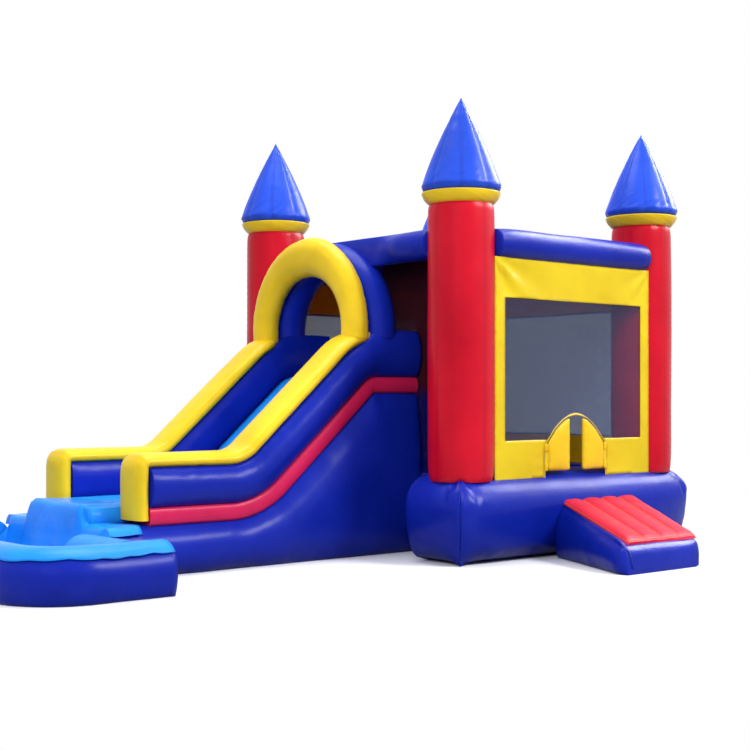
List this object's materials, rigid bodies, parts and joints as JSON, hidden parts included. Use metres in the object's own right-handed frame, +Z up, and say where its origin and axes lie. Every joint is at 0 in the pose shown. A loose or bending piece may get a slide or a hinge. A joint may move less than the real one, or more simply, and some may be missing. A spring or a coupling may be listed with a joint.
{
  "type": "inflatable bounce house",
  "caption": "Inflatable castle bounce house with corner towers, net windows, a flap door and ramp, a railed slide under an arch, a landing pool and an inflation fan.",
  "frame": {"origin": "on the ground under the middle of the house, at the underside of the bounce floor", "axes": "+Z up, the entrance faces -Y, the slide leaves toward -X"},
  "size_m": [7.7501, 5.9303, 4.4156],
  "materials": {
    "vinyl_blue": "glossy coated vinyl, royal blue",
    "vinyl_spire": "glossy coated vinyl, bright blue",
    "vinyl_red": "glossy coated vinyl, red",
    "vinyl_yellow": "glossy coated vinyl, yellow",
    "vinyl_azure": "glossy coated vinyl, light blue",
    "vinyl_crimson": "glossy coated vinyl, crimson",
    "net_dark": "woven safety netting",
    "hem_ivory": "pale vinyl hem",
    "fan_plastic": "moulded, lightly grained",
    "fan_sheet": "bare sheet",
    "motor_paint": "satin enamel",
    "switch_red": "smooth moulded",
    "webbing": "woven webbing",
    "eyelet_brass": "rolled brass"
  },
  "bodies": {
    "castle": {"base_front": "vinyl_blue", "base_back": "vinyl_blue", "base_right": "vinyl_blue", "bounce_floor": "vinyl_blue", "column_front_left": "vinyl_red", "column_front_right": "vinyl_red", "column_back_left": "vinyl_red", "column_back_right": "vinyl_red", "collar_front_left": "vinyl_yellow", "collar_front_right": "vinyl_yellow", "collar_back_left": "vinyl_yellow", "collar_back_right": "vinyl_yellow", "spire_front_left": "vinyl_spire", "spire_front_right": "vinyl_spire", "spire_back_left": "vinyl_spire", "spire_back_right": "vinyl_spire", "beam_front": "vinyl_blue", "beam_back": "vinyl_blue", "beam_left": "vinyl_blue", "beam_right": "vinyl_blue", "roof_sheet": "vinyl_blue", "wall_front": "vinyl_yellow", "wall_right": "vinyl_yellow", "wall_back": "vinyl_yellow", "net_front": "net_dark", "net_right": "net_dark", "net_back": "net_dark", "net_left": "net_dark", "door_hem": "hem_ivory", "ramp_body": "vinyl_blue", "ramp_tread": "vinyl_red", "slide_landing": "vinyl_blue", "slide_body": "vinyl_blue", "platform_tower": "vinyl_blue", "platform_deck": "vinyl_blue", "slide_bed": "vinyl_azure", "rail_near": "vinyl_blue", "rail_far": "vinyl_blue", "rail_cap_near": "vinyl_yellow", "rail_cap_far": "vinyl_yellow", "stripe_near": "vinyl_crimson", "stripe_far": "vinyl_crimson", "arch_front": "vinyl_yellow", "arch_hood": "vinyl_blue", "climb_wall": "vinyl_red", "pool_wall_near": "vinyl_blue", "pool_wall_end": "vinyl_blue", "pool_wall_far": "vinyl_blue", "pool_wall_rear": "vinyl_blue", "pool_floor": "vinyl_azure", "pool_lip": "vinyl_azure", "inflation_sleeve": "vinyl_blue", "fan_casing": "fan_plastic", "fan_motor": "motor_paint", "anchor_tabs": "webbing", "anchor_eyelets": "eyelet_brass"},
    "flap_left": {"door_flap_left": "vinyl_yellow"},
    "flap_right": {"door_flap_right": "vinyl_yellow"},
    "wheel": {"fan_wheel": "fan_sheet"},
    "rocker": {"fan_switch": "switch_red"}
  },
  "joints": [
    {"name": "flap_left_hinge", "type": "hinge", "parent": "castle", "child": "flap_left", "pos_m": [-0.44, -1.75, 0.976], "axis": [0, 0, 1], "range_deg": [-85, 85], "stiffness_Nm_per_rad": 0.5},
    {"name": "flap_right_hinge", "type": "hinge", "parent": "castle", "child": "flap_right", "pos_m": [0.44, -1.75, 0.976], "axis": [0, 0, 1], "range_deg": [-85, 85], "stiffness_Nm_per_rad": 0.5},
    {"name": "fan_spin", "type": "hinge", "parent": "castle", "child": "wheel", "pos_m": [0.7, 2.535, 0.29], "axis": [1, 0, 0], "continuous": true},
    {"name": "switch_rock", "type": "hinge", "parent": "castle", "child": "rocker", "pos_m": [0.4997, 2.535, 0.384], "axis": [1, 0, 0], "range_deg": [-8, 8]}
  ]
}
